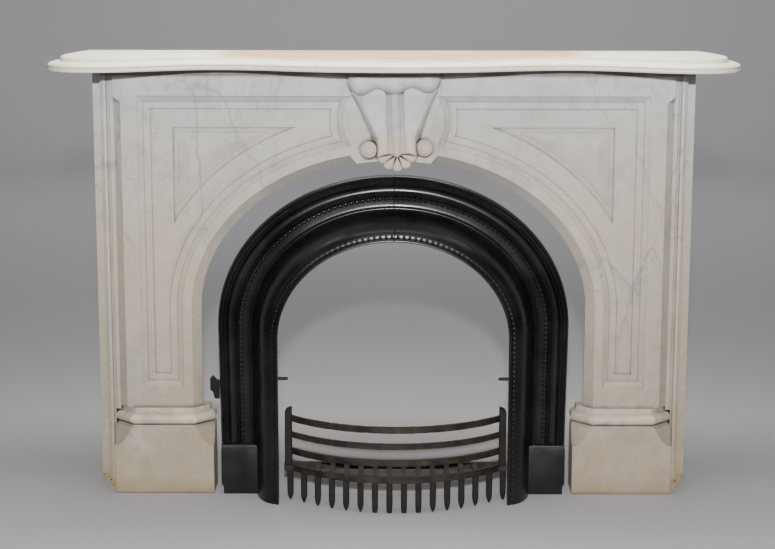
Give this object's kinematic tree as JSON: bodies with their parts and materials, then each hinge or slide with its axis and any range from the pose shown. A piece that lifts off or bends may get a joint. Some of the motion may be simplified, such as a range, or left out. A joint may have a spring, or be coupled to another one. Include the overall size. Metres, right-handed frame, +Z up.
{
  "type": "fireplace mantel",
  "caption": "Marble fireplace surround with an arched opening, carved keystone and bowed shelf, lined by a cast-iron arch with a basket grate.",
  "frame": {"origin": "middle of the footprint's bounding box, on the floor under the plinth blocks", "axes": "+X along the shelf to the right as seen from the room, +Y towards the wall, +Z up"},
  "size_m": [1.618, 0.3572, 1.071],
  "materials": {
    "marble": "honed white-grey marble, stained near the floor",
    "marble_shelf": "polished cream-white marble",
    "packing": "rough, stained",
    "black_iron": "black stove polish, glossy",
    "rusty_iron": "burnt and rusty"
  },
  "bodies": {
    "root": {"shelf": "marble_shelf", "keystone": "marble", "front_left": "marble", "front_right": "marble", "plinth_left": "marble", "plinth_right": "marble", "return_inner_left": "marble", "return_inner_right": "marble", "return_outer_left": "marble", "return_outer_right": "marble", "packing_inner_left": "packing", "packing_inner_right": "packing", "packing_outer_left": "packing", "packing_outer_right": "packing", "insert_band": "black_iron", "insert_foot_left": "black_iron", "insert_foot_right": "black_iron", "side_bracket": "black_iron", "peg_left": "black_iron", "peg_right": "black_iron", "grate_post_left": "rusty_iron", "grate_post_right": "rusty_iron", "grate_bar_1": "rusty_iron", "grate_bar_2": "rusty_iron", "grate_bar_3": "rusty_iron", "grate_floor": "rusty_iron", "grate_tooth_01": "rusty_iron", "grate_tooth_02": "rusty_iron", "grate_tooth_03": "rusty_iron", "grate_tooth_04": "rusty_iron", "grate_tooth_05": "rusty_iron", "grate_tooth_06": "rusty_iron", "grate_tooth_07": "rusty_iron", "grate_tooth_08": "rusty_iron", "grate_tooth_09": "rusty_iron", "grate_tooth_10": "rusty_iron", "grate_tooth_11": "rusty_iron", "grate_tooth_12": "rusty_iron", "grate_tooth_13": "rusty_iron", "grate_tooth_14": "rusty_iron", "grate_tooth_15": "rusty_iron", "grate_tooth_16": "rusty_iron"}
  },
  "joints": []
}
